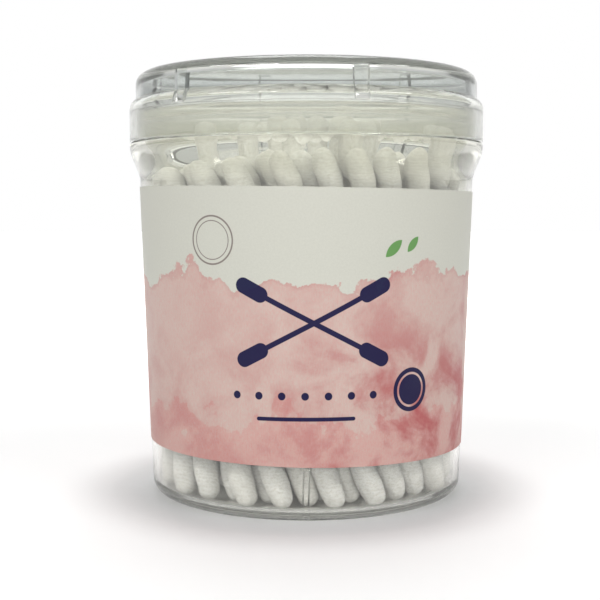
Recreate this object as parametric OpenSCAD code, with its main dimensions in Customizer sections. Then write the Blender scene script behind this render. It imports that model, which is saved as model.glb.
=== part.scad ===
// Clear round tub with a lift-off lid and a wrap-round label, filled with
// cotton swabs that stand in a loose, slightly turned bundle.
// The tub stands on the XY plane and its axis is Z. The front of the label faces -Y.

/* [Tub] */
// Outside diameter just under the collar
tub_d = 70.7; // [62:0.1:84]
// Draft of the side wall, in degrees
wall_draft = 2; // [0.5:0.25:3]
// Thickness of the side wall
tub_wall = 1.1; // [0.8:0.1:1.6]
// Height from the top of an upright swab to the mouth of the tub
mouth_room = 3.5; // [2:0.1:8]
// Outside radius of the rounded bottom corner
corner_r = 2.5; // [2:0.25:6]
// Thickness of the floor
floor_t = 1.2; // [0.8:0.1:2]
// Height of the hollow under the floor, inside the standing ring
foot_h = 0.5; // [0.3:0.1:1.2]
// Width of the flat ring the tub stands on
foot_w = 2; // [1:0.25:4]

/* [Collar and neck] */
// Height of the flare, which curves out to the collar and upright again
flare_h = 7.4; // [5:0.1:9]
// Height of the straight band above the flare
band_h = 0.5; // [0.3:0.1:2]
// Height of the neck that stands inside the lid
neck_h = 6.3; // [4:0.1:9]
// Thickness of the neck
neck_wall = 1.3; // [1:0.1:1.8]
// Radius of the mouth's edges
lip_r = 0.5; // [0.2:0.05:0.5]
// How far the snap bead stands out from the neck
bead_out = 0.25; // [0.1:0.05:0.3]
// Height of the snap bead
bead_h = 1.2; // [0.8:0.1:2]

/* [Orientation lug] */
// Width of the small upright lug at the foot of the front wall
lug_w = 1.4; // [0.8:0.1:3]
// How far the lug stands out from the wall
lug_out = 0.4; // [0.2:0.05:0.8]
// Height of the lug's top above the foot
lug_top = 10.4; // [8:0.2:12]

/* [Lid] */
// Thickness of the skirt
skirt_wall = 1.5; // [1:0.1:2]
// Width of the ledge inside the lid, between skirt and upper tier
ledge_w = 1.05; // [0.8:0.05:1.4]
// Thickness of the upper tier's wall
tier_wall = 1.2; // [1:0.1:1.6]
// Height of the lid from the skirt's lower edge to its rim
lid_h = 14.75; // [13.5:0.05:20]
// Thickness of the top plate
top_t = 1.4; // [1:0.1:2]
// How far the rim stands above the top plate
rim_h = 0.5; // [0.2:0.1:1]
// Width of the raised rim
rim_w = 1.2; // [0.5:0.1:3]
// Radius of the rounded shoulder between skirt and tier
shoulder_r = 2.4; // [1.6:0.1:2.6]
// How far the middle of the shoulder's curve lies above the ledge inside
shoulder_rise = 0.5; // [0:0.1:0.6]
// Radius of the rounded edge round the top
crown_r = 2.6; // [1:0.1:3]
// Radius inside the lid, where the tier's wall meets the top plate
top_corner_r = 1.2; // [0.5:0.1:2]
// Radius of the skirt's lower edge, outside
edge_r = 0.5; // [0.2:0.1:0.8]
// Number of upright stop ribs inside the tier
rib_count = 6; // [3:1:12]
// Width of a rib at the top plate
rib_top_w = 2.9; // [2:0.1:4]
// Width of a rib at its foot
rib_foot_w = 2.3; // [1.5:0.1:3.5]
// How far a rib stands in from the tier's wall
rib_in = 1.1; // [0.6:0.1:2]
// Direction of the first rib, seen from above
rib_turn = -73; // [-90:1:90]

/* [Fits] */
// Gap between the skirt's lower edge and the collar
seat_gap = 0.15; // [0.05:0.05:0.3]
// Gap between the snap bead and the skirt
bead_gap = 0.15; // [0.05:0.05:0.3]
// Gap between the mouth of the tub and the ledge inside the lid
mouth_gap = 0.3; // [0.1:0.05:0.4]

/* [Label] */
// Thickness of the label film
label_t = 0.12; // [0.08:0.02:0.3]
// Gap between the lug's top and the label's lower edge
label_low_gap = 0.5; // [0.2:0.1:4]
// Gap between the label's upper edge and the flare
label_top_gap = 1.5; // [1:0.1:10]
// Slant of the label as it was applied, in degrees
label_slant = 0.9; // [0:0.1:1.2]
// Width of the glued overlap at the back
label_lap = 6; // [3:0.5:12]

/* [Swabs] */
// Length of a swab over its two cotton tips
swab_len = 74.5; // [70:0.5:76]
// Diameter of the paper stick
stick_d = 2.4; // [2:0.1:2.6]
// Greatest diameter of a cotton tip
tip_d = 5; // [4.6:0.05:5.4]
// Length of a cotton tip
tip_len = 12.5; // [10:0.5:15]
// Radius of the round end of a tip
tip_end_r = 2.2; // [2:0.05:2.3]
// Distance from the end of a tip to its thickest place
tip_crest = 6; // [5:0.25:8]
// Cotton beyond the end of the stick
tip_cover = 2.6; // [2:0.1:4]

/* [Bundle] */
// Share of the floor that the tips and the gaps round them take up
bundle_fill = 0.74; // [0.4:0.01:0.74]
// Heading of the whole bundle, seen from above
bundle_heading = 58; // [0:1:359]
// Turn of the bundle from the floor to the top
bundle_turn = 42; // [0:1:50]
// Extra turn on one side of the bundle, taken off on the other
turn_sway = 13; // [0:1:14]
// Direction of the side that turns the most, from the bundle's heading
sway_side = 200; // [0:5:360]
// Gap that the tips keep from each other, level with the floor
tip_gap = 0.5; // [0.45:0.05:1]
// The same gap at the top, where the tub is wider
tip_gap_top = 0.8; // [0.6:0.05:1]
// Gap between the outermost tips and the wall at the floor
floor_gap = 0.2; // [0.1:0.05:0.5]
// Gap between the outermost tips and the wall at the top
top_gap = 0.7; // [0.6:0.05:1.2]
// Share of the swabs that are wedged a little higher than the rest
raised_share = 0.22; // [0:0.02:0.5]
// Most that a wedged swab stands up from the floor
raised_most = 4.6; // [0:0.2:5]
// Scatter of the swabs before they settle
scatter = 1.5; // [0:0.1:1.5]

/* [Hidden] */

// Steps in a rounded corner, and in the curved flare
arc_steps = 8;
flare_steps = 10;
// Overlap that makes two parts of one moulding a single solid
weld = 0.4;
// Groups of swabs, from the middle of the bundle outwards
group_count = 6;
// Turn from one swab to the next in the spiral that the bundle starts from
spiral_turn = 137.508;
// Rounds of settling, and the share of an overlap that each swab gives way
floor_rounds = 28;
top_rounds = 20;
give_way = 0.8;
// Numbers that pick one scatter out of many
floor_scatter = 24;
top_scatter = 55;
raise_scatter = 12;

// Heights
floor_z = foot_h + floor_t;
mouth_z = floor_z + swab_len + mouth_room;
seat_z = mouth_z - neck_h;
collar_z = seat_z - band_h - flare_h;
skirt_z = seat_z + seat_gap;
ledge_z = mouth_z + mouth_gap;
rim_z = skirt_z + lid_h;
plate_z = rim_z - rim_h - top_t;
label_z = lug_top + label_low_gap;
label_h = collar_z - label_top_gap - label_z;

// Radii, from the wall out to the lid
top_r = tub_d / 2;
base_r = top_r - (collar_z - corner_r) * tan(wall_draft);
neck_in_r = top_r - tub_wall;
neck_r = neck_in_r + neck_wall;
bead_r = neck_r + bead_out;
skirt_in_r = bead_r + bead_gap;
band_r = skirt_in_r + skirt_wall;
tier_in_r = skirt_in_r - ledge_w;
tier_r = tier_in_r + tier_wall;
in_corner_r = corner_r - tub_wall;
in_corner_z = floor_z + in_corner_r;
in_corner_x = wall_r(in_corner_z) - tub_wall - in_corner_r;

// Outside radius of the tub's wall at height z
function wall_r(z) = base_r + (z - corner_r) * tan(wall_draft);

// Points along an arc
function arc(centre, r, from, to) = [
    for (i = [0 : arc_steps])
        let (a = from + (to - from) * i / arc_steps)
        centre + r * [cos(a), sin(a)]
];

// Points along the flare: an ogee that leaves the wall upright and meets the band upright
function flare() = [
    for (i = [0 : flare_steps])
        let (s = i / flare_steps)
        [top_r + (band_r - top_r) * s * s * (3 - 2 * s), collar_z + flare_h * s]
];

// Half section of the tub
module tub_section() {
    bead_z = mouth_z - neck_h / 4 - bead_h / 2;
    polygon(concat(
        [[0, foot_h], [base_r - corner_r - foot_w, foot_h], [base_r - corner_r - foot_w, 0]],
        arc([base_r - corner_r, corner_r], corner_r, -90, 0),
        flare(),
        [[band_r, seat_z], [neck_r, seat_z]],
        [[neck_r, bead_z - bead_h / 2], [bead_r, bead_z - bead_h / 4]],
        [[bead_r, bead_z + bead_h / 4], [neck_r, bead_z + bead_h / 2]],
        arc([neck_r - lip_r, mouth_z - lip_r], lip_r, 0, 90),
        arc([neck_in_r + lip_r, mouth_z - lip_r], lip_r, 90, 180),
        [[neck_in_r, collar_z]],
        arc([in_corner_x, in_corner_z], in_corner_r, 0, -90),
        [[0, floor_z]]
    ));
}

// Half section of the upright lug: a strip that follows the wall down round the corner
module lug_section() {
    start = -60;
    outer = arc([base_r - corner_r + lug_out, corner_r], corner_r, start, 0);
    inner = arc([base_r - corner_r - weld, corner_r], corner_r, 0, start);
    top = [[wall_r(lug_top) + lug_out, lug_top], [wall_r(lug_top) - weld, lug_top]];
    polygon(concat(outer, top, inner));
}

module tub() {
    lug_angle = 2 * asin(lug_w / 2 / base_r);
    color([0.93, 0.95, 0.95, 0.35]) {
        rotate_extrude($fn = 120)
            tub_section();
        rotate([0, 0, -90 - lug_angle / 2])
            rotate_extrude(angle = lug_angle, $fn = 120)
                lug_section();
    }
}

// Half section of the lid
module lid_section() {
    shoulder_x = band_r - shoulder_r;
    shoulder_end = acos((tier_r - shoulder_x) / shoulder_r);
    rim_r = tier_r - crown_r - rim_w;
    polygon(concat(
        [[skirt_in_r, skirt_z]],
        arc([band_r - edge_r, skirt_z + edge_r], edge_r, -90, 0),
        arc([shoulder_x, ledge_z + shoulder_rise], shoulder_r, 0, shoulder_end),
        arc([tier_r - crown_r, rim_z - crown_r], crown_r, 0, 90),
        [[rim_r, rim_z], [rim_r - rim_h, rim_z - rim_h], [0, rim_z - rim_h]],
        [[0, plate_z]],
        arc([tier_in_r - top_corner_r, plate_z - top_corner_r], top_corner_r, 90, 0),
        [[tier_in_r, ledge_z], [skirt_in_r, ledge_z]]
    ));
}

// One stop rib, as it lies at angle 0
module rib() {
    z = ledge_z;
    translate([tier_in_r - rib_in, 0, 0])
        rotate([90, 0, 90])
            linear_extrude(rib_in + weld)
                polygon([
                    [-rib_foot_w / 2, z], [rib_foot_w / 2, z],
                    [rib_top_w / 2, plate_z + weld], [-rib_top_w / 2, plate_z + weld]
                ]);
}

module lid() {
    color([0.93, 0.95, 0.95, 0.35]) {
        rotate_extrude($fn = 120)
            lid_section();
        for (i = [0 : rib_count - 1])
            rotate([0, 0, rib_turn + i * 360 / rib_count])
                rib();
    }
}

// A wrap of film that lies on the tub's wall, centred at the back, with spare film to trim
module wrap(thickness, sweep) {
    spare = tub_wall + tub_d * tan(label_slant);
    low = label_z - spare;
    high = label_z + label_h + spare;
    rotate([0, 0, 90 - sweep / 2])
        rotate_extrude(angle = sweep, $fn = 120)
            polygon([
                [wall_r(low), low], [wall_r(low) + thickness, low],
                [wall_r(high) + thickness, high], [wall_r(high), high]
            ]);
}

module label() {
    slab = 3 * tub_d;
    lap_angle = 2 * asin(label_lap / tub_d);
    color([0.93, 0.78, 0.78])
        intersection() {
            union() {
                wrap(label_t, 360);
                wrap(2 * label_t, lap_angle);
            }
            translate([0, 0, label_z + label_h / 2])
                rotate([0, label_slant, 0])
                    cube([slab, slab, label_h], center = true);
        }
}

// A repeatable number from 0 to 1 for swab i, a different one for each k
function chance(i, k) = let (v = sin(i * 127.1 + k * 311.7) * 43758.5453) v - floor(v);

function scattered(i, k, most) = most * [2 * chance(i, k) - 1, 2 * chance(i, k + 1) - 1];

// How far the neighbours of p push it, when they are nearer than pitch
function push(p, spots, pitch) =
    let (shoves = [
        for (q = spots)
            let (g = p - q, l = norm(g))
            if (l > 0 && l < pitch) g * (give_way * (pitch - l) / l)
    ])
    len(shoves) == 0 ? [0, 0] : [for (s = shoves) 1] * shoves;

// p, or the nearest place to it inside a circle
function held_in(p, reach) = norm(p) > reach ? p * (reach / norm(p)) : p;

// The spots after they have pushed each other apart inside the wall
function settled(spots, pitch, reach, rounds) =
    rounds <= 0 ? spots :
    settled(
        [for (p = spots) held_in(p + push(p, spots, pitch), reach)],
        pitch, reach, rounds - 1
    );

// Where the swabs stand on the floor, from the middle of the bundle outwards
floor_pitch = tip_d + tip_gap;
floor_reach = base_r - tub_wall - tip_d / 2 - floor_gap;
swab_count = floor(bundle_fill * pow(1 + 2 * floor_reach / floor_pitch, 2));
floor_spots = settled(
    [
        for (i = [0 : swab_count - 1])
            let (a = spiral_turn * i, r = floor_reach * sqrt((i + 0.5) / swab_count))
            [r * cos(a), r * sin(a)] + scattered(i, floor_scatter, scatter)
    ],
    floor_pitch, floor_reach, floor_rounds
);

// Where their upper ends come to lie: turned, spread to the wall and settled again
top_reach = neck_in_r - tip_d / 2 - top_gap;
top_spots = settled(
    [
        for (i = [0 : swab_count - 1])
            let (
                p = floor_spots[i],
                side = atan2(p.y, p.x),
                r = norm(p) * top_reach / floor_reach,
                sway = turn_sway * cos(side - sway_side) * norm(p) / floor_reach,
                a = side - bundle_turn - sway
            )
            [r * cos(a), r * sin(a)] + scattered(i, top_scatter, scatter)
    ],
    tip_d + tip_gap_top, top_reach, top_rounds
);

// Distance between the centres of a swab's two round ends
span = swab_len - 2 * tip_end_r;

// Height of the centre of a round end that rests on the floor or in the inner corner
function end_z(r) =
    let (room = max(0, in_corner_r - tip_end_r), past = min(room, max(0, r - in_corner_x)))
    floor_z + tip_end_r + room - sqrt(room * room - past * past);

// How far swab i is wedged up along its own axis
function raised(i) =
    chance(i, raise_scatter) < raised_share
        ? raised_most * (1 + chance(i, raise_scatter + 2)) / 2
        : 0;

// Puts its children, drawn along Z from the centre of the lower end, in place as swab i
module place(i) {
    low = floor_spots[i];
    lean = top_spots[i] - low;
    rotate([0, 0, bundle_heading])
        translate([low.x, low.y, end_z(norm(low))])
            rotate([0, asin(norm(lean) / span), atan2(lean.y, lean.x)])
                translate([0, 0, raised(i)])
                    children();
}

// Draws its children for each swab of one group
module each_swab(group) {
    first = round(swab_count * (group - 1) / group_count);
    last = round(swab_count * group / group_count) - 1;
    for (i = [first : last])
        place(i)
            children();
}

// A stick, whose ends lie inside the two tips
module stick() {
    translate([0, 0, tip_cover - tip_end_r])
        cylinder(h = swab_len - 2 * tip_cover, d = stick_d, $fn = 24);
}

// Half section of a cotton tip: a round end, then a long curve that is thickest at its crest
module tip_section() {
    side_r = tip_d / 2;
    swell = side_r - tip_end_r;
    rise = tip_crest - tip_end_r;
    belly_r = (swell * swell + rise * rise) / (2 * swell);
    difference() {
        union() {
            intersection() {
                circle(r = tip_end_r, $fn = 48);
                translate([0, -tip_end_r])
                    square([tip_end_r, tip_end_r]);
            }
            intersection() {
                translate([side_r - belly_r, rise])
                    circle(r = belly_r, $fn = 480);
                square([side_r, tip_len - tip_end_r]);
            }
        }
        translate([-stick_d / 2, tip_cover - tip_end_r])
            square([stick_d, tip_len]);
    }
}

module tip() {
    rotate_extrude($fn = 32)
        tip_section();
}

module swab_sticks(group) {
    color([0.96, 0.95, 0.91])
        each_swab(group)
            stick();
}

module lower_cotton(group) {
    color([0.97, 0.97, 0.96])
        each_swab(group)
            tip();
}

module upper_cotton(group) {
    color([0.97, 0.97, 0.96])
        each_swab(group)
            translate([0, 0, span])
                mirror([0, 0, 1])
                    tip();
}

tub();
lid();
label();
swab_sticks(1);  // swab_sticks_1
swab_sticks(2);  // swab_sticks_2
swab_sticks(3);  // swab_sticks_3
swab_sticks(4);  // swab_sticks_4
swab_sticks(5);  // swab_sticks_5
swab_sticks(6);  // swab_sticks_6
lower_cotton(1);  // lower_cotton_1
lower_cotton(2);  // lower_cotton_2
lower_cotton(3);  // lower_cotton_3
lower_cotton(4);  // lower_cotton_4
lower_cotton(5);  // lower_cotton_5
lower_cotton(6);  // lower_cotton_6
upper_cotton(1);  // upper_cotton_1
upper_cotton(2);  // upper_cotton_2
upper_cotton(3);  // upper_cotton_3
upper_cotton(4);  // upper_cotton_4
upper_cotton(5);  // upper_cotton_5
upper_cotton(6);  // upper_cotton_6
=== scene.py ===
import math

import bmesh
import bpy
import numpy as np
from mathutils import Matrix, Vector


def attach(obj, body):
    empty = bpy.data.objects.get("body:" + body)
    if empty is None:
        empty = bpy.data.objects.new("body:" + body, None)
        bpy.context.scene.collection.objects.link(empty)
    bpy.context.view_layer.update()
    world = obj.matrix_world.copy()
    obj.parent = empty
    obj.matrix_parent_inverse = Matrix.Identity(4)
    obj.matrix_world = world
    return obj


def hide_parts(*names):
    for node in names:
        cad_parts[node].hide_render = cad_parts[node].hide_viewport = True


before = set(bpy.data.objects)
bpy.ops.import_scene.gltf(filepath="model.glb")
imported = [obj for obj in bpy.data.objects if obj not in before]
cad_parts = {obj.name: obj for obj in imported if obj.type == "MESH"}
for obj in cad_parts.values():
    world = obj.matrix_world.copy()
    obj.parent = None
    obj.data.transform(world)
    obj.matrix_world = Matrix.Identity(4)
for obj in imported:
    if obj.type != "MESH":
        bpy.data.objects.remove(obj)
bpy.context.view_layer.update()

MM = 0.001
FRONT = math.radians(-90)
BACK = math.radians(90)

# Columns of points round the tub, lid and label, and the angle (degrees) from which an edge stays sharp
SEGMENTS = 264
SHARP_EDGE = 35

# The sizes from here to the swabs' are those of the CAD model, in millimetres.
# Tub
DRAFT = math.tan(math.radians(2))
TOP_R = 35.35
WALL = 1.1
COLLAR_Z = 65.5
CORNER_R = 2.5
BASE_R = TOP_R - (COLLAR_Z - CORNER_R) * DRAFT
FOOT_H = 0.5
FOOT_W = 2
FLOOR_Z = 1.7
BAND_Z = 72.9
BAND_R = 37.45
SEAT_Z = 73.4
MOUTH_Z = 79.7
NECK_IN_R = 34.25
NECK_R = 35.55
LIP_R = 0.5
BEAD_R = 35.8
BEAD_H = 1.2
BEAD_Z = MOUTH_Z - (MOUTH_Z - SEAT_Z) / 4 - BEAD_H / 2
LUG_TOP = 10.4
LUG_OUT = 0.4
LUG_HALF = math.asin(0.7 / BASE_R)

# Lid
SKIRT_IN_R = 35.95
SKIRT_Z = 73.55
EDGE_R = 0.5
LEDGE_Z = 80.0
SHOULDER_R = 2.4
SHOULDER_RISE = 0.5
TIER_IN_R = 34.9
TIER_R = 36.1
PLATE_Z = 86.4
TOP_CORNER_R = 1.2
RIM_Z = 88.3
RIM_H = 0.5
RIM_W = 1.2
CROWN_R = 2.6
RIB_IN = 1.1
RIB_FOOT_W = 2.3
RIB_TOP_W = 2.9
RIB_MID = [math.radians(-73 + 60 * i) for i in range(6)]

# Label
LABEL_LOW = 10.9
LABEL_TOP = 64.0
LABEL_SLANT = math.tan(math.radians(0.9))
LABEL_T = 0.12
LABEL_LAP = 6.0

# Swabs
STICK_R = 1.2
TIP_LEN = 12.5
TIP_COVER = 2.6
TIP_END_R = 2.2
TIP_R = 2.5
TIP_CREST = 6

# Room between the label and the wall, which share a face in the CAD model
LABEL_AIR = 0.02


def wall_r(z):
    return BASE_R + (z - CORNER_R) * DRAFT


# ---------------------------------------------------------------- meshes


def add_piece(name, mesh, sharp_edge=SHARP_EDGE):
    """Puts a smooth-shaded mesh into the scene."""
    mesh.polygons.foreach_set("use_smooth", [True] * len(mesh.polygons))
    mesh.set_sharp_from_angle(angle=math.radians(sharp_edge))
    piece = bpy.data.objects.new(name, mesh)
    bpy.context.scene.collection.objects.link(piece)
    return piece


def arc(x, z, r, start, end, steps=12):
    turns = [math.radians(start + (end - start) * i / steps) for i in range(steps + 1)]
    return [(x + r * math.cos(a), z + r * math.sin(a)) for a in turns]


def softened(points, radii, steps=4):
    """The line through points, with the corner at each index in radii rounded to that radius."""
    out = []
    for i, p in enumerate(points):
        r = radii.get(i, 0)
        if not r:
            out.append(p)
            continue
        here = Vector(p)
        before = Vector(points[i - 1]) - here
        after = Vector(points[i + 1]) - here
        reach = min(r, 0.45 * before.length, 0.45 * after.length)
        a = here + before.normalized() * reach
        b = here + after.normalized() * reach
        for k in range(steps + 1):
            t = k / steps
            q = a * (1 - t) ** 2 + here * 2 * t * (1 - t) + b * t * t
            out.append((q.x, q.y))
    return out


def lathe(name, line, angles, shape=None, closed=False):
    """A closed surface of revolution from a line of (radius, height) in mm. shape moves each point."""
    rings = []
    mesh = bpy.data.meshes.new(name)
    bm = bmesh.new()
    for k, (r, z) in enumerate(line):
        if r < 1e-6:
            rings.append([bm.verts.new((0, 0, z * MM))])
            continue
        ring = []
        for a in angles:
            rr, zz, aa = shape(k, r, z, a) if shape else (r, z, a)
            ring.append(bm.verts.new((rr * math.cos(aa) * MM, rr * math.sin(aa) * MM, zz * MM)))
        rings.append(ring)
    count = len(angles)
    pairs = list(zip(rings, rings[1:]))
    if closed:
        pairs.append((rings[-1], rings[0]))
    for low, high in pairs:
        for j in range(count):
            n = (j + 1) % count
            corners = [low[j % len(low)], low[n % len(low)], high[n % len(high)], high[j % len(high)]]
            face = list(dict.fromkeys(corners))
            if len(face) > 2:
                bm.faces.new(face)
    bmesh.ops.recalc_face_normals(bm, faces=bm.faces)
    bm.to_mesh(mesh)
    bm.free()
    return add_piece(name, mesh)


def even_angles(extra=()):
    """Angles round the axis, with some added, and none crowded against those."""
    step = 2 * math.pi / SEGMENTS
    extra = sorted(x % (2 * math.pi) for x in extra)

    def crowded(a):
        return any(abs((a - x + math.pi) % (2 * math.pi) - math.pi) < 0.3 * step for x in extra)

    return sorted([i * step for i in range(SEGMENTS) if not crowded(i * step)] + extra)


def off_from(a, centre):
    """The angle from centre to a, between -pi and pi."""
    return (a - centre + math.pi) % (2 * math.pi) - math.pi


# ---------------------------------------------------------------- node helpers


class Shade:
    """Builds one node tree. Its sockets can be added and multiplied as numbers."""

    def __init__(self, owner):
        owner.use_nodes = True
        self.tree = owner.node_tree
        self.tree.nodes.clear()

    def node(self, kind, **values):
        n = self.tree.nodes.new(kind)
        for key, value in values.items():
            if key.startswith("p_"):
                setattr(n, key[2:], value)
                continue
            name = key.replace("_", " ")
            socket = n.inputs[int(key[1:])] if key[0] == "i" and key[1:].isdigit() else n.inputs[name]
            self.put(socket, value)
        return n

    def put(self, socket, value):
        if isinstance(value, Num):
            value = value.socket
        if isinstance(value, bpy.types.NodeSocket):
            self.tree.links.new(value, socket)
        else:
            socket.default_value = value

    def math(self, operation, *values, clamp=False):
        n = self.tree.nodes.new("ShaderNodeMath")
        n.operation = operation
        n.use_clamp = clamp
        for socket, value in zip(n.inputs, values):
            self.put(socket, value)
        return Num(self, n.outputs[0])

    def noise(self, vector, scale, detail=3.0, roughness=0.5, distortion=0.0):
        n = self.node("ShaderNodeTexNoise", Vector=vector, Scale=scale, Detail=detail)
        n.inputs["Roughness"].default_value = roughness
        n.inputs["Distortion"].default_value = distortion
        return Num(self, n.outputs[0])

    def ramp(self, value, low, high, out_low=0.0, out_high=1.0, smooth=True):
        n = self.tree.nodes.new("ShaderNodeMapRange")
        n.interpolation_type = "SMOOTHSTEP" if smooth else "LINEAR"
        for socket, v in zip(n.inputs, (value, low, high, out_low, out_high)):
            self.put(socket, v)
        return Num(self, n.outputs[0])

    def mix(self, factor, a, b):
        n = self.tree.nodes.new("ShaderNodeMix")
        n.data_type = "RGBA"
        self.put(n.inputs[0], factor)
        self.put(n.inputs[6], a)
        self.put(n.inputs[7], b)
        return n.outputs[2]

    def point(self, x, y, z=0.0):
        return self.node("ShaderNodeCombineXYZ", X=x, Y=y, Z=z).outputs[0]


class Num:
    def __init__(self, groove_shade_and_fibre_tone, socket):
        self.groove_shade_and_fibre_tone = groove_shade_and_fibre_tone
        self.socket = socket

    def __add__(self, other):
        return self.groove_shade_and_fibre_tone.math("ADD", self, other)

    def __sub__(self, other):
        return self.groove_shade_and_fibre_tone.math("SUBTRACT", self, other)

    def __mul__(self, other):
        return self.groove_shade_and_fibre_tone.math("MULTIPLY", self, other)

    def __neg__(self):
        return self.groove_shade_and_fibre_tone.math("MULTIPLY", self, -1.0)

    def low(self, other):
        return self.groove_shade_and_fibre_tone.math("MINIMUM", self, other)

    def high(self, other):
        return self.groove_shade_and_fibre_tone.math("MAXIMUM", self, other)

    __radd__ = __add__
    __rmul__ = __mul__


def linear(r, g, b):
    """A colour as it looks on screen, 0 to 255, as Blender's own numbers."""
    out = []
    for c in (r, g, b):
        c = c / 255
        out.append(c / 12.92 if c <= 0.04045 else ((c + 0.055) / 1.055) ** 2.4)
    return (*out, 1.0)


# ---------------------------------------------------------------- materials


def clear_plastic(name, tints, tint_zone, milk, milk_zone, through, rough, depth):
    """Clear moulded plastic, a little milky in places.

    A zone is a list of steps in height (mm), each as (from, to, how much the zone's share rises there).
    tints are the colours out of the tint zone and in it, and milk the shares of light that are scattered
    out of the milk zone and in it. through is the colour of a lamp's light that has crossed one surface.
    depth is the colour and the strength (per metre) of what the plastic takes from light on its way.
    """
    material = bpy.data.materials.new(name)
    s = Shade(material)
    place = s.node("ShaderNodeTexCoord").outputs["Object"]
    z = Num(s, s.node("ShaderNodeSeparateXYZ", Vector=place).outputs[2]) * 1000
    slow = s.noise(place, 38.0, 2.0)
    smudge = s.noise(place, 150.0, 4.0, 0.6)
    body = s.node("ShaderNodeBsdfPrincipled")
    tinted, milky = [sum(s.ramp(z, low, high) * rise for low, high, rise in zone)
                     for zone in (tint_zone, milk_zone)]
    s.put(body.inputs["Base Color"], s.mix(tinted, *tints))
    body.inputs["IOR"].default_value = 1.53
    s.put(body.inputs["Roughness"], s.ramp(smudge, 0.3, 0.75, rough, rough * 2.2) + milky * 0.025)
    share = s.math("SUBTRACT", 1.0, milky * (milk[1] - milk[0]) + milk[0])
    s.put(body.inputs["Transmission Weight"], share)
    bump = s.node("ShaderNodeBump", Strength=0.015, Distance=0.0006, Height=slow * 0.8 + smudge * 0.2)
    s.put(body.inputs["Normal"], bump.outputs[0])
    clear = s.node("ShaderNodeBsdfTransparent", Color=through)
    path = s.node("ShaderNodeLightPath")
    shadow = path.outputs["Is Shadow Ray"]
    mix = s.node("ShaderNodeMixShader", i0=shadow, i1=body.outputs[0], i2=clear.outputs[0])
    inside = s.node("ShaderNodeVolumeAbsorption", Color=depth[0], Density=depth[1])
    s.node("ShaderNodeOutputMaterial", Surface=mix.outputs[0], Volume=inside.outputs[0])
    return material


def cotton():
    material = bpy.data.materials.new("cotton")
    s = Shade(material)
    place = s.node("ShaderNodeTexCoord").outputs["Object"]
    wound = s.node("ShaderNodeUVMap", p_uv_map="wound").outputs[0]
    uv = s.node("ShaderNodeSeparateXYZ", Vector=wound)
    u, v = Num(s, uv.outputs[0]), Num(s, uv.outputs[1])
    tone = Num(s, s.node("ShaderNodeAttribute", p_attribute_name="tone").outputs["Fac"])
    lumps = s.noise(place, 420.0, 2.0)
    fibre = s.noise(place, 1700.0, 5.0, 0.75, 1.0)
    turns = u * (2 * math.pi * 5) + v * 8.0 + lumps * 16.0
    ridge = s.math("SINE", turns)
    height = ridge * 0.07 + fibre * 1.3 + lumps * 0.8
    white = s.mix(tone, linear(248, 247, 242), linear(252, 252, 250))
    # The cotton's colour is darker where the winding's grooves lie, which is painted shade, and varies with
    # the fibre noise, which is its own random tone
    groove_shade_and_fibre_tone = s.mix(s.ramp(ridge * 0.05 + fibre, 0.3, 0.62), linear(228, 226, 218), white)
    body = s.node("ShaderNodeBsdfPrincipled", Roughness=0.92)
    s.put(body.inputs["Base Color"], groove_shade_and_fibre_tone)
    body.inputs["Specular IOR Level"].default_value = 0.15
    body.inputs["Sheen Weight"].default_value = 0.12
    body.inputs["Sheen Roughness"].default_value = 0.5
    bump = s.node("ShaderNodeBump", Strength=1.0, Distance=0.00024, Height=height)
    s.put(body.inputs["Normal"], bump.outputs[0])
    s.node("ShaderNodeOutputMaterial", Surface=body.outputs[0])
    return material


def paper_stick():
    material = bpy.data.materials.new("rolled_paper")
    s = Shade(material)
    place = s.node("ShaderNodeTexCoord").outputs["Object"]
    wound = s.node("ShaderNodeUVMap", p_uv_map="wound").outputs[0]
    uv = s.node("ShaderNodeSeparateXYZ", Vector=wound)
    u, v = Num(s, uv.outputs[0]), Num(s, uv.outputs[1])
    fibre = s.noise(place, 3000.0, 3.0, 0.6)
    seam = s.math("FRACT", u + v * 0.02)
    line = s.ramp(seam, 0.0, 0.03, 0.0, 1.0)
    colour = s.mix(s.ramp(fibre, 0.3, 0.7), linear(228, 224, 212), linear(240, 238, 230))
    body = s.node("ShaderNodeBsdfPrincipled", Roughness=0.7)
    s.put(body.inputs["Base Color"], s.mix(line, linear(205, 200, 186), colour))
    bump = s.node("ShaderNodeBump", Strength=0.3, Distance=0.0001, Height=fibre * 0.6 + line)
    s.put(body.inputs["Normal"], bump.outputs[0])
    s.node("ShaderNodeOutputMaterial", Surface=body.outputs[0])
    return material


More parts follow.
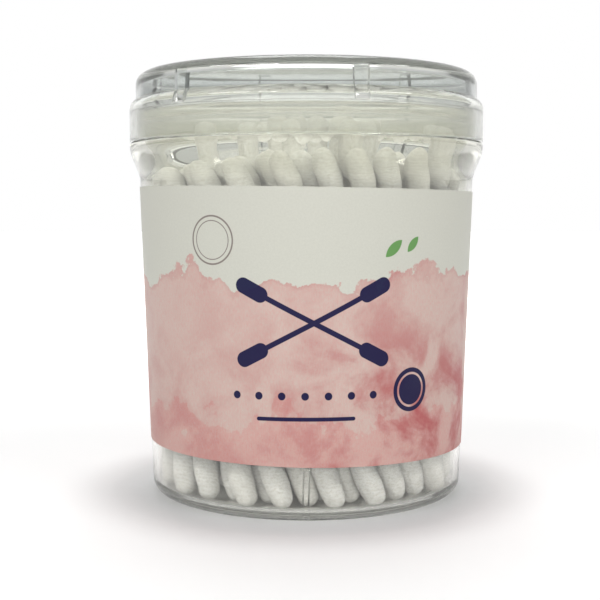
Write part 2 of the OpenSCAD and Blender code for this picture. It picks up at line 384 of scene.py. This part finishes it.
def printed_label():
    """Film with a plain pink wash and simple marks. Its UV map is in mm: round from the front, and up."""
    material = bpy.data.materials.new("printed_film")
    s = Shade(material)
    spot = s.node("ShaderNodeUVMap", p_uv_map="print").outputs[0]
    uv = s.node("ShaderNodeSeparateXYZ", Vector=spot)
    x, z = Num(s, uv.outputs[0]), Num(s, uv.outputs[1])
    broad = s.noise(spot, 0.045, 2.0)
    torn = s.noise(spot, 0.22, 6.0, 0.62)
    pool = s.noise(spot, 0.085, 4.0, 0.55, 0.6)
    grain = s.noise(spot, 2.4, 4.0, 0.7)
    threads = s.noise(s.point(x * 3.4, z * 0.9), 1.0, 3.0, 0.6)

    # Height of the wash's ragged upper edge, and how far a place lies under it
    edge = broad * 26.0 + torn * 9.0 + 29.5
    depth = edge - z
    wash = s.ramp(depth, -0.15, 0.25)
    rim = s.ramp(depth, 0.2, 1.6, 1.0, 0.0) * wash
    second = s.ramp(broad * -20.0 + torn * 11.0 + pool * 22.0 + 14.0 - z, -0.2, 0.4)
    deep = s.ramp(pool + torn * 0.35, 0.55, 0.86) * s.ramp(z, 18.0, 46.0, 1.0, 0.35)
    deep = deep * s.ramp(x, -12.0, 16.0, 0.45, 1.2) * s.ramp(x, 55.0, 105.0, 1.0, 0.4)
    light = wash * 0.54 + second * wash * 0.24 + (grain + threads - 1.0) * wash * 0.7
    dark = deep * wash * 0.85 + rim * 0.2
    ground = s.mix(s.ramp(grain, 0.3, 0.7), linear(209, 209, 198), linear(214, 214, 203))
    colour = s.mix(dark, s.mix(light, ground, linear(215, 160, 153)), linear(184, 96, 97))

    # Marks, each as the distance to its outline, which is negative inside
    def disc(cx, cz, r):
        dx, dz = x - cx, z - cz
        return s.math("SQRT", dx * dx + dz * dz) - r

    def bar(ax, az, bx, bz, r):
        """A bar with round ends."""
        ux, uz = bx - ax, bz - az
        length = ux * ux + uz * uz
        dx, dz = x - ax, z - az
        t = s.math("MULTIPLY", dx * ux + dz * uz, 1 / length, clamp=True)
        ex, ez = dx - t * ux, dz - t * uz
        return s.math("SQRT", ex * ex + ez * ez) - r

    def drawn_swab(cx, cz, half, turn):
        """A thin bar with a thick one at each end."""
        c, q = math.cos(math.radians(turn)), math.sin(math.radians(turn))
        stick = bar(cx - half * c, cz - half * q, cx + half * c, cz + half * q, 0.5)
        inner = half - 3.8
        ends = [bar(cx + k * inner * c, cz + k * inner * q, cx + k * half * c, cz + k * half * q, 1.5)
                for k in (-1, 1)]
        return stick.low(ends[0]).low(ends[1])

    marks = drawn_swab(1.5, 38.5, 15.5, 27).low(drawn_swab(1.5, 38.5, 15.5, -27))
    for k in range(7):
        marks = marks.low(disc(-14.0 + 4.6 * k, 24.6, 0.75))
    marks = marks.low(bar(-9.5, 20.2, 9.5, 20.2, 0.38))
    badge = disc(22.5, 25.0, 4.3)
    marks = marks.low(badge.high(-(s.math("ABSOLUTE", disc(22.5, 25.0, 3.2)) - 0.22)))
    ring = s.math("ABSOLUTE", disc(-19.0, 54.0, 4.6)) - 0.16
    ring = ring.low(s.math("ABSOLUTE", disc(-19.0, 54.0, 3.7)) - 0.09)
    leaf = disc(15.9, 54.2, 3.4).high(disc(19.1, 50.6, 3.4))
    leaf = leaf.low(disc(20.6, 54.4, 2.7).high(disc(23.4, 51.9, 2.7)))
    colour = s.mix(s.ramp(marks, -0.05, 0.06, 0.985, 0.0), colour, linear(10, 12, 62))
    colour = s.mix(s.ramp(ring, -0.04, 0.05, 0.8, 0.0), colour, linear(112, 96, 92))
    colour = s.mix(s.ramp(leaf, -0.05, 0.06, 0.92, 0.0), colour, linear(92, 150, 72))

    # The inner face and the cut edges are plain film
    face = Num(s, s.node("ShaderNodeAttribute", p_attribute_name="printed").outputs["Fac"])
    colour = s.mix(face, linear(226, 226, 220), colour)
    body = s.node("ShaderNodeBsdfPrincipled")
    s.put(body.inputs["Base Color"], colour)
    s.put(body.inputs["Roughness"], s.ramp(grain, 0.3, 0.7, 0.42, 0.55))
    body.inputs["Specular IOR Level"].default_value = 0.2
    ripple = s.noise(spot, 0.12, 2.0)
    bump = s.node("ShaderNodeBump", Strength=0.25, Distance=0.0004, Height=grain * 0.05 + ripple * 0.6)
    s.put(body.inputs["Normal"], bump.outputs[0])
    s.node("ShaderNodeOutputMaterial", Surface=body.outputs[0])
    return material


# ---------------------------------------------------------------- tub


def tub_line():
    wall = [(wall_r(z), z) for z in np.linspace(CORNER_R, COLLAR_Z, 14)[1:]]
    lug_end = [(wall_r(z), z) for z in (10.3, LUG_TOP, 10.5)]
    wall = sorted(wall + lug_end, key=lambda p: p[1])
    flare = [(TOP_R + (BAND_R - TOP_R) * t * t * (3 - 2 * t), COLLAR_Z + (BAND_Z - COLLAR_Z) * t)
             for t in np.linspace(0, 1, 17)[1:]]
    ring = BASE_R - CORNER_R
    foot = softened([(0, FOOT_H), (ring - FOOT_W, FOOT_H), (ring - FOOT_W, 0), (ring, 0)], {1: 0.25, 2: 0.15})
    neck = softened(
        [(BAND_R, BAND_Z + 0.1), (BAND_R, SEAT_Z), (NECK_R, SEAT_Z),
         (NECK_R, BEAD_Z - BEAD_H / 2), (BEAD_R, BEAD_Z - BEAD_H / 4),
         (BEAD_R, BEAD_Z + BEAD_H / 4), (NECK_R, BEAD_Z + BEAD_H / 2), (NECK_R, MOUTH_Z - 0.7)],
        {1: 0.25, 2: 0.2, 3: 0.2, 4: 0.2, 5: 0.2, 6: 0.2},
    )
    neck += arc(NECK_R - LIP_R, MOUTH_Z - LIP_R, LIP_R, 0, 90, 8)
    neck += arc(NECK_IN_R + LIP_R, MOUTH_Z - LIP_R, LIP_R, 90, 180, 8) + [(NECK_IN_R, 72)]
    inner_r = CORNER_R - WALL
    inner_z = FLOOR_Z + inner_r
    inner_x = wall_r(inner_z) - WALL - inner_r
    inside = [(NECK_IN_R, COLLAR_Z)]
    inside += [(wall_r(z) - WALL, z) for z in np.linspace(COLLAR_Z, inner_z, 10)[1:-1]]
    inside += arc(inner_x, inner_z, inner_r, 0, -90, 14)
    inside += [(r, FLOOR_Z) for r in (20, 10, 0)]
    return foot[:-1] + arc(ring, CORNER_R, CORNER_R, -90, 0, 20) + wall + flare + neck + inside


def tub_shape(k, r, z, a):
    """Moves the outer wall out where the small upright lug stands, by less at its sides, foot and top."""
    if k > TUB_OUTER or z > 10.45 or z < 0.3:
        return r, z, a
    off = abs(off_from(a, FRONT)) / LUG_HALF
    side = max(0, 1 - off ** 3)
    foot = min(1, (z - 0.3) / 0.4)
    top = 1 if z < 10.35 else 0.5 if z < 10.42 else 0
    return r + LUG_OUT * side * foot * top, z, a


line = tub_line()
# The line's points up to this one are on the outside, low enough for the lug
TUB_OUTER = next(k for k, p in enumerate(line) if p[1] > 12)
lug_columns = [FRONT + LUG_HALF * w
               for w in (-1, -0.94, -0.86, -0.74, -0.58, -0.36, 0, 0.36, 0.58, 0.74, 0.86, 0.94, 1)]
tub = lathe("clear_tub", line, even_angles(lug_columns), tub_shape)
tub.data.materials.append(clear_plastic(
    "clear_tub_plastic",
    tints=(linear(251, 251, 248), linear(230, 230, 221)), tint_zone=[(60, 68, 1)],
    milk=(0.01, 0.15), milk_zone=[(64, 69, 0.2), (73.2, 74.2, 0.8)],
    through=linear(251, 251, 249), rough=0.012, depth=(linear(206, 206, 203), 28.0),
))
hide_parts("tub")
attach(tub, "tub")

# ---------------------------------------------------------------- lid


def lid_line():
    shoulder_x = BAND_R - SHOULDER_R
    shoulder_z = LEDGE_Z + SHOULDER_RISE
    shoulder_end = math.degrees(math.acos((TIER_R - shoulder_x) / SHOULDER_R))
    outer = softened([(SKIRT_IN_R, SKIRT_Z + 1), (SKIRT_IN_R, SKIRT_Z), (BAND_R - EDGE_R, SKIRT_Z)], {1: 0.2})
    outer += arc(BAND_R - EDGE_R, SKIRT_Z + EDGE_R, EDGE_R, -90, 0, 8)[1:]
    outer += [(BAND_R, SKIRT_Z + 2), (BAND_R, 78)]
    outer += arc(shoulder_x, shoulder_z, SHOULDER_R, 0, shoulder_end - 7, 14)
    crease_z = shoulder_z + SHOULDER_R * math.sin(math.radians(shoulder_end))
    outer += softened([outer[-1], (TIER_R, crease_z), (TIER_R, crease_z + 1)], {1: 0.35}, 6)[1:]
    outer += [(TIER_R, 84.6)] + arc(TIER_R - CROWN_R, RIM_Z - CROWN_R, CROWN_R, 0, 90, 18)
    rim_r = TIER_R - CROWN_R - RIM_W
    top_z = RIM_Z - RIM_H
    outer += softened([(rim_r + 0.6, RIM_Z), (rim_r, RIM_Z), (rim_r - RIM_H, top_z), (28, top_z)],
                      {1: 0.25, 2: 0.25})
    plate = [(r, top_z) for r in (20, 8, 0)] + [(r, PLATE_Z) for r in (0, 8, 20, 30)]
    inner = arc(TIER_IN_R - TOP_CORNER_R, PLATE_Z - TOP_CORNER_R, TOP_CORNER_R, 90, 0, 10)
    inner += [(TIER_IN_R, 84), (TIER_IN_R, 82)]
    ledge = softened([(TIER_IN_R, 81), (TIER_IN_R, LEDGE_Z), (SKIRT_IN_R, LEDGE_Z), (SKIRT_IN_R, 79)],
                     {1: 0.15, 2: 0.2})
    return outer + plate + inner + ledge + [(SKIRT_IN_R, 77)]


def rib_half(z):
    """Half the width of a rib at height z, as an angle."""
    share = min(1, max(0, (z - LEDGE_Z) / (PLATE_Z - LEDGE_Z)))
    return (RIB_FOOT_W + (RIB_TOP_W - RIB_FOOT_W) * share) / 2 / (TIER_IN_R - RIB_IN)


line = lid_line()
RIB_TOP = rib_half(PLATE_Z)
# The line's points on the inside of the tier's wall, where the ribs stand
LID_INNER = [k for k, (r, z) in enumerate(line)
             if LEDGE_Z - 1e-6 <= z <= PLATE_Z + 1e-6 and TIER_IN_R - TOP_CORNER_R <= r <= TIER_IN_R + 1e-6]


def lid_shape(k, r, z, a):
    """Moves the inside of the tier's wall in where a rib stands."""
    if k not in LID_INNER:
        return r, z, a
    for mid in RIB_MID:
        off = off_from(a, mid)
        if abs(off) < RIB_TOP * 1.07:
            step = off / RIB_TOP
            a = mid + step * rib_half(z)
            if abs(step) < 1.01:
                r = min(r, TIER_IN_R - RIB_IN)
            return r, z, a
    return r, z, a


rib_columns = [mid + RIB_TOP * w for mid in RIB_MID for w in (-1.06, -1, -0.5, 0, 0.5, 1, 1.06)]
lid = lathe("clear_lid", line, even_angles(rib_columns), lid_shape, closed=True)
lid.data.materials.append(clear_plastic(
    "clear_lid_plastic",
    tints=(linear(236, 237, 232), linear(206, 209, 208)), tint_zone=[(80.5, 82.5, 1), (85.9, 86.3, -1)],
    milk=(0.0, 0.08), milk_zone=[(74, 75, 1), (80, 81.5, -1)],
    through=linear(248, 248, 246), rough=0.015, depth=(linear(202, 204, 201), 46.0),
))
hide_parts("lid")
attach(lid, "lid")

# ---------------------------------------------------------------- label


def make_label():
    """A wrap of film, twice as thick where it is glued over itself at the back, with its UV map in mm."""
    lap = math.asin(LABEL_LAP / 2 / TOP_R)
    angles = even_angles([BACK + s * w for s in (-1, 1) for w in (lap, lap + 0.002)])
    rows = 40
    mesh = bpy.data.meshes.new("wrap_label")
    bm = bmesh.new()
    uv = bm.loops.layers.uv.new("print")
    printed = bm.verts.layers.float.new("printed")

    def height(a, t):
        r = wall_r(0.5 * (LABEL_LOW + LABEL_TOP))
        rise = -r * math.cos(a) * LABEL_SLANT
        return LABEL_LOW + rise + t * (LABEL_TOP - LABEL_LOW)

    def ring(t, outer):
        out = []
        for a in angles:
            z = height(a, t)
            thick = LABEL_T * (2 if abs(off_from(a, BACK)) < lap + 1e-6 else 1)
            r = wall_r(z) + (thick if outer else 0) + LABEL_AIR
            v = bm.verts.new((r * math.cos(a) * MM, r * math.sin(a) * MM, z * MM))
            v[printed] = 1.0 if outer else 0.0
            out.append(v)
        return out

    outer = [ring(i / rows, True) for i in range(rows + 1)]
    inner = [ring(i / rows, False) for i in range(rows + 1)]
    grid = [(outer[i], outer[i + 1]) for i in range(rows)]
    grid += [(outer[rows], inner[rows])]
    grid += [(inner[i + 1], inner[i]) for i in range(rows - 1, -1, -1)]
    grid += [(inner[0], outer[0])]
    n = len(angles)
    for low, high in grid:
        for j in range(n):
            bm.faces.new([low[j], low[(j + 1) % n], high[(j + 1) % n], high[j]])
    for face in bm.faces:
        mid = face.calc_center_median()
        centre = off_from(math.atan2(mid.y, mid.x), FRONT)
        for loop in face.loops:
            p = loop.vert.co
            a = centre + off_from(math.atan2(p.y, p.x), centre + FRONT)
            loop[uv].uv = (a * TOP_R, p.z / MM)
    bmesh.ops.recalc_face_normals(bm, faces=bm.faces)
    bm.to_mesh(mesh)
    bm.free()
    return add_piece("wrap_label", mesh)


label = make_label()
label.data.materials.append(printed_label())
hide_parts("label")
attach(label, "tub")

# ---------------------------------------------------------------- swabs


def stick_ends(node):
    """The two ends of each stick in a node, the lower end first, in mm."""
    bm = bmesh.new()
    bm.from_mesh(node.data)
    bmesh.ops.remove_doubles(bm, verts=bm.verts, dist=1e-6)
    seen, ends = set(), []
    for start in bm.verts:
        if start in seen:
            continue
        seen.add(start)
        island, todo = [], [start]
        while todo:
            v = todo.pop()
            island.append(v)
            for e in v.link_edges:
                w = e.other_vert(v)
                if w not in seen:
                    seen.add(w)
                    todo.append(w)
        points = np.array([v.co for v in island]) / MM
        middle = points.mean(0)
        axis = np.linalg.svd(points - middle, full_matrices=False)[2][0]
        along = (points - middle) @ axis
        pair = [points[along < along.min() + 1].mean(0), points[along > along.max() - 1].mean(0)]
        ends.append(sorted(pair, key=lambda p: p[2]))
    bm.free()
    return ends


def tip_radius(t):
    """Radius of a cotton tip at distance t from its end."""
    if t < TIP_END_R:
        return math.sqrt(max(0, TIP_END_R ** 2 - (TIP_END_R - t) ** 2))
    swell = TIP_R - TIP_END_R
    rise = TIP_CREST - TIP_END_R
    belly = (swell ** 2 + rise ** 2) / (2 * swell)
    r = TIP_R - belly + math.sqrt(belly ** 2 - (t - TIP_CREST) ** 2)
    tuck = max(0, t - 10.9) / (TIP_LEN - 10.9)
    return r + (STICK_R + 0.04 - r) * tuck ** 2.4


# Distances from a tip's end to its rings of points
TIP_T = [0.0, 0.06, 0.24, 0.55, 0.95, 1.4, 1.9, 2.45, *np.linspace(3.0, 10.8, 17),
         11.3, 11.7, 12.05, 12.3, TIP_LEN]
TIP_SIDES = 36
STICK_SIDES = 24


def across(axis):
    """Two directions square to an axis and to each other."""
    side = np.cross(axis, [0.3, 0.9, 0.2])
    side /= np.linalg.norm(side)
    return side, np.cross(axis, side)


def add_tip(verts, faces, wound, tones, end, axis, rng):
    """One wound cotton tip: lumpy, with slanting ridges that follow its own winding."""
    side, up = across(axis)
    first = len(verts)
    tone = rng.uniform(0, 1)
    spin = rng.uniform(0, 2 * math.pi)
    waves = [(rng.integers(1, 4), rng.uniform(0.3, 1.1), rng.uniform(0, 6.28), rng.uniform(0.02, 0.05))
             for _ in range(4)]
    bend = rng.uniform(-0.12, 0.12, 2)
    hand = 1 if rng.uniform() < 0.85 else -1
    ridges = rng.uniform(1.5, 2.1)
    for t in TIP_T[1:]:
        fade = min(1, t / 1.8) * min(1, (12.9 - t) / 2)
        for j in range(TIP_SIDES):
            a = 2 * math.pi * j / TIP_SIDES
            lump = sum(amp * math.sin(n * a + f * t + q) for n, f, q, amp in waves)
            wind = 0.012 * math.sin(3 * hand * a + ridges * t + spin)
            r = tip_radius(t) + fade * (lump + wind - 0.07)
            swing = bend * math.sin(math.pi * min(1, t / TIP_LEN)) * 0.6
            p = end + axis * t + side * (r * math.cos(a) + swing[0]) + up * (r * math.sin(a) + swing[1])
            verts.append(p)
    pole = len(verts)
    verts.append(end + axis * 0.02)
    rows = len(TIP_T) - 1
    for j in range(TIP_SIDES):
        n = (j + 1) % TIP_SIDES
        ua, ub = j / TIP_SIDES, (j + 1) / TIP_SIDES
        faces.append((pole, first + n, first + j))
        wound += [(ua, 0), (ub, TIP_T[1]), (ua, TIP_T[1])]
        for i in range(rows - 1):
            low, high = first + i * TIP_SIDES, first + (i + 1) * TIP_SIDES
            faces.append((low + j, low + n, high + n, high + j))
            wound += [(ua, TIP_T[i + 1]), (ub, TIP_T[i + 1]), (ub, TIP_T[i + 2]), (ua, TIP_T[i + 2])]
    tones += [tone] * (len(verts) - first)


def add_stick(verts, faces, wound, tones, low, high, rng):
    """One rolled paper stick between its two ends."""
    length = np.linalg.norm(high - low)
    axis = (high - low) / length
    side, up = across(axis)
    first = len(verts)
    steps = [0, 0.02, *np.linspace(0.1, 0.9, 9), 0.98, 1]
    spin = rng.uniform()
    for k in steps:
        for j in range(STICK_SIDES):
            a = 2 * math.pi * j / STICK_SIDES
            verts.append(low + axis * length * k + STICK_R * (side * math.cos(a) + up * math.sin(a)))
    for i in range(len(steps) - 1):
        a, b = first + i * STICK_SIDES, first + (i + 1) * STICK_SIDES
        for j in range(STICK_SIDES):
            n = (j + 1) % STICK_SIDES
            faces.append((a + j, a + n, b + n, b + j))
            u0, u1 = j / STICK_SIDES + spin, (j + 1) / STICK_SIDES + spin
            v0, v1 = steps[i] * length, steps[i + 1] * length
            wound += [(u0, v0), (u1, v0), (u1, v1), (u0, v1)]
    last = first + (len(steps) - 1) * STICK_SIDES
    faces.append(tuple(first + j for j in reversed(range(STICK_SIDES))))
    faces.append(tuple(last + j for j in range(STICK_SIDES)))
    wound += [(0, 0)] * (2 * STICK_SIDES)
    tones += [0.5] * (len(verts) - first)


def build(name, verts, faces, wound, tones, material):
    """One piece from the points, faces, UV corners and tones that the swabs of a group added."""
    mesh = bpy.data.meshes.new(name)
    mesh.from_pydata([tuple(p * MM) for p in verts], [], faces)
    uv = mesh.uv_layers.new(name="wound")
    uv.data.foreach_set("uv", np.array(wound, np.float32).ravel())
    mesh.attributes.new("tone", "FLOAT", "POINT").data.foreach_set("value", np.array(tones, np.float32))
    mesh.materials.append(material)
    mesh.validate()
    return add_piece(name, mesh, 70)


COTTON = cotton()
PAPER = paper_stick()
rng = np.random.default_rng(7)
for group in range(1, 7):
    ends = stick_ends(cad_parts[f"swab_sticks_{group}"])
    sets = {k: ([], [], [], []) for k in ("stick", "low", "up")}
    for low, high in ends:
        axis = (high - low) / np.linalg.norm(high - low)
        add_stick(*sets["stick"], low, high, rng)
        add_tip(*sets["low"], low - TIP_COVER * axis, axis, rng)
        add_tip(*sets["up"], high + TIP_COVER * axis, -axis, rng)
    for kind, node, name, material, slot in (
        ("stick", "swab_sticks", "paper_sticks", PAPER, "paper_stick"),
        ("low", "lower_cotton", "lower_tips", COTTON, "cotton"),
        ("up", "upper_cotton", "upper_tips", COTTON, "cotton"),
    ):
        piece = build(f"{name}_{group}", *sets[kind], material)
        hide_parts(f"{node}_{group}")
        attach(piece, "tub")

# ---------------------------------------------------------------- floor, light and camera

# Strength of the sky as it lights the object
FILL = 0.36


def background_share(s):
    """1 where a ray is one that shows the background: from the camera, or by way of gloss or glass."""
    path = s.node("ShaderNodeLightPath")
    total = Num(s, path.outputs["Is Camera Ray"]) + Num(s, path.outputs["Is Glossy Ray"])
    total = total + Num(s, path.outputs["Is Transmission Ray"])
    return total.low(1.0)


def make_floor():
    """A pale floor that keeps the tub's shadow and turns white away from it."""
    mesh = bpy.data.meshes.new("floor")
    r, n = 3.0, 64
    ring = [(r * math.cos(2 * math.pi * i / n), r * math.sin(2 * math.pi * i / n), 0) for i in range(n)]
    mesh.from_pydata(ring, [], [tuple(range(n))])
    floor = bpy.data.objects.new("floor", mesh)
    bpy.context.scene.collection.objects.link(floor)
    material = bpy.data.materials.new("pale_floor")
    s = Shade(material)
    place = s.node("ShaderNodeTexCoord").outputs["Object"]
    fine = s.noise(place, 300.0, 3.0)
    body = s.node("ShaderNodeBsdfPrincipled", Roughness=0.8)
    s.put(body.inputs["Base Color"], s.mix(fine, linear(244, 244, 244), linear(248, 248, 248)))
    away = s.node("ShaderNodeVectorMath", p_operation="LENGTH", i0=place).outputs["Value"]
    near = s.ramp(away, 0.036, 0.055, 0.0, 0.28)
    far = s.ramp(away, 0.08, 0.30, 0.0, 0.7)
    glow = s.node("ShaderNodeEmission", Strength=background_share(s) * (near + far))
    both = s.node("ShaderNodeAddShader", i0=body.outputs[0], i1=glow.outputs[0])
    s.node("ShaderNodeOutputMaterial", Surface=both.outputs[0])
    mesh.materials.append(material)


def make_world():
    """A white background, a little darker at the sides and overhead as glass and gloss see it."""
    world = bpy.data.worlds.new("studio")
    bpy.context.scene.world = world
    s = Shade(world)
    share = background_share(s)
    way = s.node("ShaderNodeTexCoord").outputs["Generated"]
    part = s.node("ShaderNodeSeparateXYZ", Vector=way)
    up = part.outputs[2]
    beside = s.math("ABSOLUTE", part.outputs[0])
    seen = s.ramp(up, 0.3, 0.9, 1.0, 0.9) * s.ramp(beside, 0.3, 0.95, 1.0, 0.65)
    fill = s.ramp(up, 0.0, 0.8, FILL, 0.55 * FILL)
    path = s.node("ShaderNodeLightPath")
    seen = seen.high(path.outputs["Is Camera Ray"])
    strength = s.ramp(share, 0, 1, fill, seen, smooth=False)
    sky = s.node("ShaderNodeBackground", Color=(1, 1, 1, 1), Strength=strength)
    s.node("ShaderNodeOutputWorld", Surface=sky.outputs[0])


def lamp(name, turn, up, distance, size, watts):
    """A soft lamp, aimed at the tub. turn is its direction from the front to the right, and up how high it
    stands, in degrees. distance and size are in metres."""
    data = bpy.data.lights.new(name, "AREA")
    data.shape = "RECTANGLE"
    data.size = size[0]
    data.size_y = size[1]
    data.energy = watts
    piece = bpy.data.objects.new(name, data)
    t, e = math.radians(turn), math.radians(up)
    way = Vector((math.sin(t) * math.cos(e), -math.cos(t) * math.cos(e), math.sin(e)))
    piece.location = Vector((0, 0, 0.05)) + way * distance
    piece.rotation_euler = way.to_track_quat("Z", "Y").to_euler()
    bpy.context.scene.collection.objects.link(piece)
    return piece


make_floor()
make_world()
lamp("left_lamp", -45, 39, 0.8, (0.60, 0.06), 1.5)
lamp("right_lamp", 57, 39, 0.8, (0.46, 0.06), 1.25)
broad_lamps = (
    lamp("front_lamp", 2, 9, 0.9, (0.80, 0.28), 2.65),
    lamp("back_lamp", 184, 14, 0.9, (0.80, 0.30), 1.8),
)
# Their rectangles don't show in the plastic
for broad_lamp in broad_lamps:
    broad_lamp.visible_glossy = False
    broad_lamp.visible_transmission = False
lamp("top_lamp", 180, 66, 0.8, (0.4, 0.4), 1.8)

camera = bpy.data.objects.new("camera", bpy.data.cameras.new("camera"))
camera.data.lens = 69.4
camera.data.sensor_width = 36
camera.data.clip_start = 0.01
camera.location = (0, -0.2499, 0.0596)
camera.rotation_euler = (math.radians(90 - 4.43), 0, math.radians(0.306))
bpy.context.scene.collection.objects.link(camera)
bpy.context.scene.camera = camera
bpy.context.scene.view_settings.view_transform = "Standard"

# Light runs far inside clear plastic, and each of its inner reflections counts as a glossy bounce
cycles = bpy.context.scene.cycles
cycles.max_bounces = 32
cycles.diffuse_bounces = 2
cycles.glossy_bounces = 32
cycles.transmission_bounces = 32
cycles.transparent_max_bounces = 16
